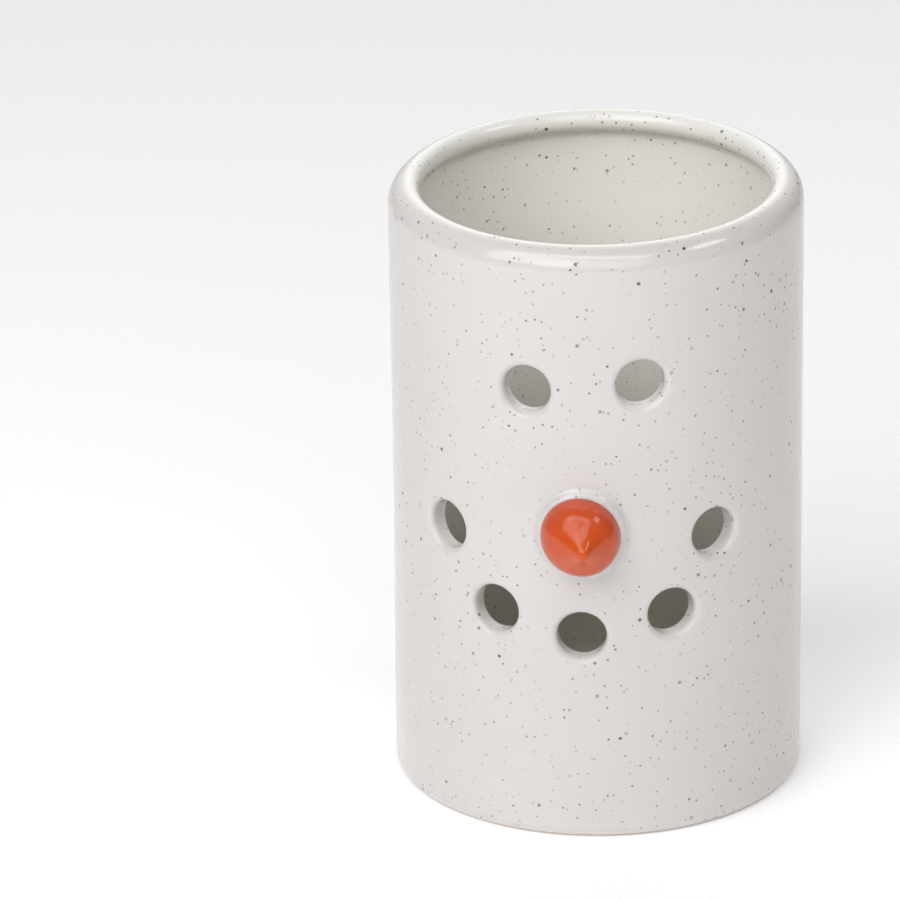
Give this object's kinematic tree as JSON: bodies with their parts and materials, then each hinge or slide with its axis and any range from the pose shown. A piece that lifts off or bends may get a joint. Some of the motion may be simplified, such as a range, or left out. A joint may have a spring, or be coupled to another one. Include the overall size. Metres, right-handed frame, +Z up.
{
  "type": "tealight lantern",
  "caption": "Open-topped glazed stoneware cylinder pierced with a snowman's eyes and smile, with a stuck-on carrot nose and a lift-out tealight that glows through the holes.",
  "frame": {"origin": "middle of the foot ring, in the plane the lantern stands on", "axes": "+Z up along the axis of the pot, -Y towards the front, where the face is, +X to the right as the face is seen"},
  "size_m": [0.09, 0.1025, 0.138],
  "materials": {
    "speckled_glaze": "gloss",
    "orange_glaze": "gloss",
    "cup_aluminium": "satin",
    "candle_wax": "satin",
    "cotton_wick": "matte",
    "tinned_steel": "satin"
  },
  "bodies": {
    "lantern": {"vessel": "speckled_glaze", "carrot_nose": "orange_glaze"},
    "tealight": {"tealight_cup": "cup_aluminium", "tealight_wax": "candle_wax", "tealight_wick": "cotton_wick", "wick_sustainer": "tinned_steel"}
  },
  "joints": [
    {"name": "tealight_lift", "type": "slide", "parent": "lantern", "child": "tealight", "axis": [0, 0, 1], "range_m": [0, 0.15]}
  ]
}
